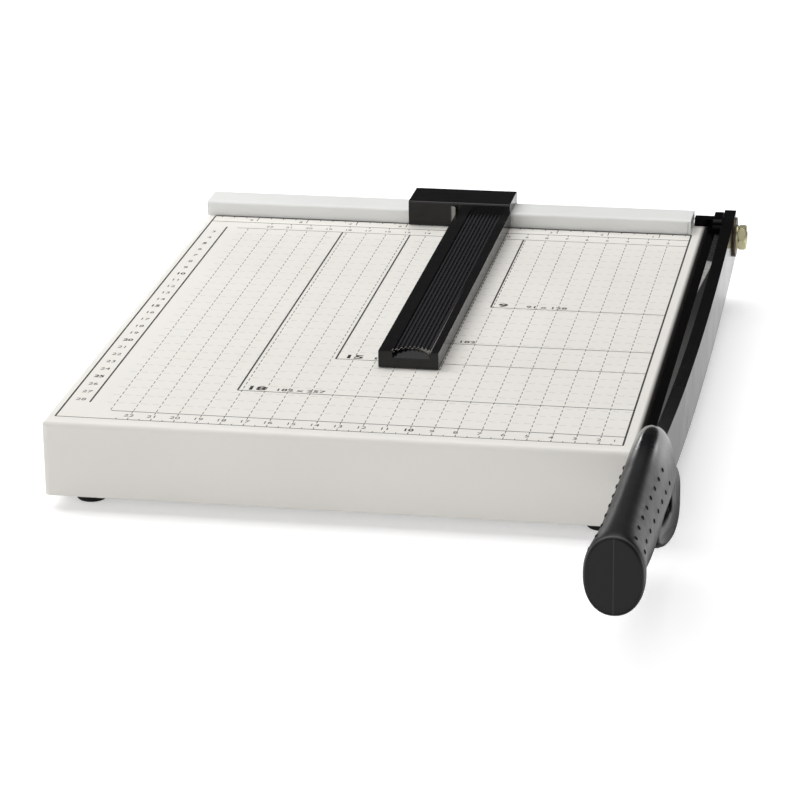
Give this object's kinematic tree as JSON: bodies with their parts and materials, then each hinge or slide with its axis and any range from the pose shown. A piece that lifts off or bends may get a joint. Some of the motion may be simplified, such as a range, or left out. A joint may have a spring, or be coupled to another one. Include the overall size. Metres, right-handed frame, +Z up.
{
  "type": "paper cutter",
  "caption": "Desk guillotine paper cutter: printed steel base, rear fence, sliding paper guide, fixed bed knife and a curved hinged blade with a moulded guard handle.",
  "frame": {"origin": "middle of the whole cutter's footprint, on the table", "axes": "+X from the guide towards the blade, +Y from the handle towards the fence and the pivot, +Z up"},
  "size_m": [0.2744, 0.5114, 0.0746],
  "materials": {
    "base_paint": "satin cream paint",
    "fence_plastic": "satin light grey plastic",
    "guide_plastic": "satin black plastic",
    "spring_steel": "plain spring steel",
    "knife_paint": "black paint with a ground land",
    "blade_paint": "gloss black paint with a ground bevel",
    "handle_plastic": "satin black plastic",
    "pivot_zinc": "yellow zinc plating",
    "washer_steel": "dark oiled steel",
    "screw_zinc": "clear zinc plating",
    "screw_black": "black oxide",
    "foot_rubber": "matt black rubber"
  },
  "bodies": {
    "base": {"base_shell": "base_paint", "fence_rail": "fence_plastic", "fence_screws": "screw_zinc", "bed_knife": "knife_paint", "bed_knife_screws": "screw_zinc", "bed_knife_washers": "screw_zinc", "ear_brace": "knife_paint", "ear_brace_screw": "screw_zinc", "pivot_stud": "pivot_zinc", "pivot_washer": "washer_steel", "pivot_lock_washer": "pivot_zinc", "pivot_nut": "pivot_zinc", "foot_front_left": "foot_rubber", "foot_front_right": "foot_rubber", "foot_rear_left": "foot_rubber", "foot_rear_right": "foot_rubber", "foot_screws": "screw_zinc"},
    "blade": {"blade": "blade_paint", "handle_left": "handle_plastic", "handle_right": "handle_plastic", "handle_screws": "screw_black"},
    "guide": {"guide_slider": "guide_plastic", "guide_spring": "spring_steel"}
  },
  "joints": [
    {"name": "blade_hinge", "type": "hinge", "parent": "base", "child": "blade", "pos_m": [0.1258, 0.24228, 0.0354], "axis": [-1, 0, 0], "range_deg": [0, 70]},
    {"name": "guide_slide", "type": "slide", "parent": "base", "child": "guide", "axis": [1, 0, 0], "range_m": [-0.104, 0.089]}
  ]
}
